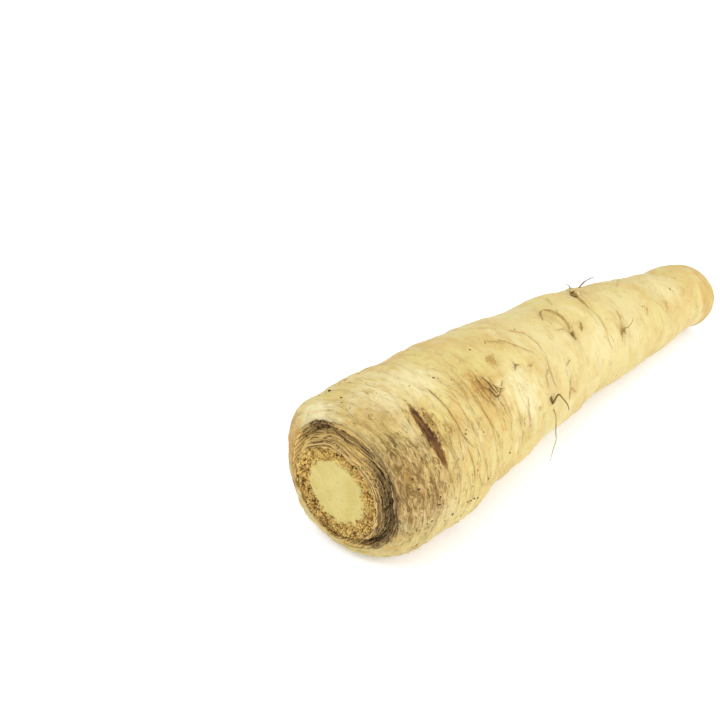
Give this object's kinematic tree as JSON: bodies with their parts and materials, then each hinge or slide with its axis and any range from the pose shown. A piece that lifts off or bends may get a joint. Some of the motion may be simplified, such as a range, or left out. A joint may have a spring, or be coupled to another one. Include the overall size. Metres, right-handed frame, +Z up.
{
  "type": "parsley root",
  "caption": "Trimmed parsley root lying on its side: a tapering creased taproot with a cut, furrowed crown, a cut tip and fine side rootlets.",
  "frame": {"origin": "on the resting plane, under the middle of the root's bounding box", "axes": "+X along the root from the cut crown to the cut tip, +Y to the left when looking from the crown to the tip, +Z up from the resting plane"},
  "size_m": [0.1792, 0.0514, 0.0505],
  "materials": {
    "root_skin": null
  },
  "bodies": {
    "root": {"parsley_root": "root_skin"}
  },
  "joints": []
}
